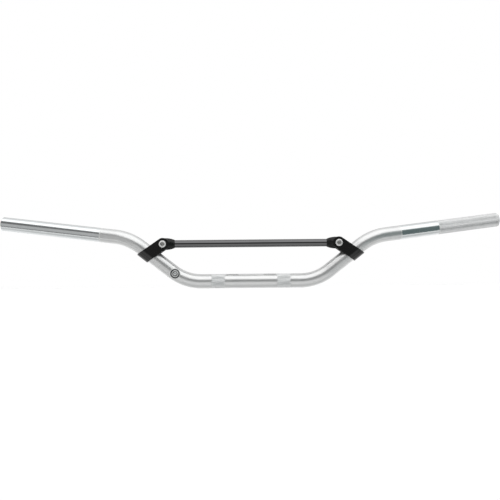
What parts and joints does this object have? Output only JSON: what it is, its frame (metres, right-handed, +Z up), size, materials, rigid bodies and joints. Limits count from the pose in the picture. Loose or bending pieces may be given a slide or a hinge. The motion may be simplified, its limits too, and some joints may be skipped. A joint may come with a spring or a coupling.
{
  "type": "motorcycle handlebar",
  "caption": "Off-road motorcycle handlebar: bent aluminium tube with rise and pullback, knurled seats, and a black crossbar bolted on by two strap clamps.",
  "frame": {"origin": "middle of the centre straight, on the tube's axis", "axes": "+X to the rider's left along the centre straight, +Y to the rear the way the grips sweep back, +Z up"},
  "size_m": [0.8074, 0.089, 0.116],
  "materials": {
    "satin_aluminium": "satin anodised on the middle, polished outer ends, fine knurl on the seats and the left grip area",
    "black_anodised": "gloss black anodised",
    "black_nylon": "black moulded, lightly mottled",
    "black_coated_steel": "black powder coat",
    "zinc_steel": "bright zinc plated",
    "insert_nylon": "natural nylon",
    "badge_print": "printed film, plain rings"
  },
  "bodies": {
    "bar": {"handlebar_tube": "satin_aluminium", "badge_decal": "badge_print"},
    "clamp_left": {"crossbar_clamp_left": "black_coated_steel", "washer_left": "zinc_steel", "lock_nut_left": "zinc_steel", "nut_insert_left": "insert_nylon"},
    "clamp_right": {"crossbar_clamp_right": "black_coated_steel", "washer_right": "zinc_steel", "lock_nut_right": "zinc_steel", "nut_insert_right": "insert_nylon"},
    "crossbar": {"crossbar_tube": "black_anodised", "crossbar_lug_left": "black_nylon", "crossbar_lug_right": "black_nylon", "lug_sleeve_left": "zinc_steel", "lug_sleeve_right": "zinc_steel"},
    "screw_left": {"clamp_screw_left": "zinc_steel"},
    "screw_right": {"clamp_screw_right": "zinc_steel"}
  },
  "joints": [
    {"name": "clamp_left_slide", "type": "slide", "parent": "bar", "child": "clamp_left", "axis": [0.7872, 0, 0.6168], "range_m": [-0.003, 0.003]},
    {"name": "clamp_right_slide", "type": "slide", "parent": "bar", "child": "clamp_right", "axis": [-0.7872, 0, 0.6168], "range_m": [-0.003, 0.003]},
    {"name": "crossbar_tilt", "type": "hinge", "parent": "clamp_left", "child": "crossbar", "pos_m": [0.13678, 0, 0.05864], "axis": [0, -1, 0], "range_deg": [-0.8, 0.8]},
    {"name": "screw_left_turn", "type": "hinge", "parent": "clamp_left", "child": "screw_left", "pos_m": [0.13678, 0, 0.05864], "axis": [0, -1, 0], "range_deg": [0, 360]},
    {"name": "screw_right_turn", "type": "hinge", "parent": "clamp_right", "child": "screw_right", "pos_m": [-0.13678, 0, 0.05864], "axis": [0, -1, 0], "range_deg": [0, 360]}
  ],
  "couplings": [
    {"joint": "crossbar_tilt", "follows": "clamp_left_slide", "rad_per_m": 4.509},
    {"joint": "clamp_right_slide", "follows": "clamp_left_slide", "ratio": -1}
  ]
}
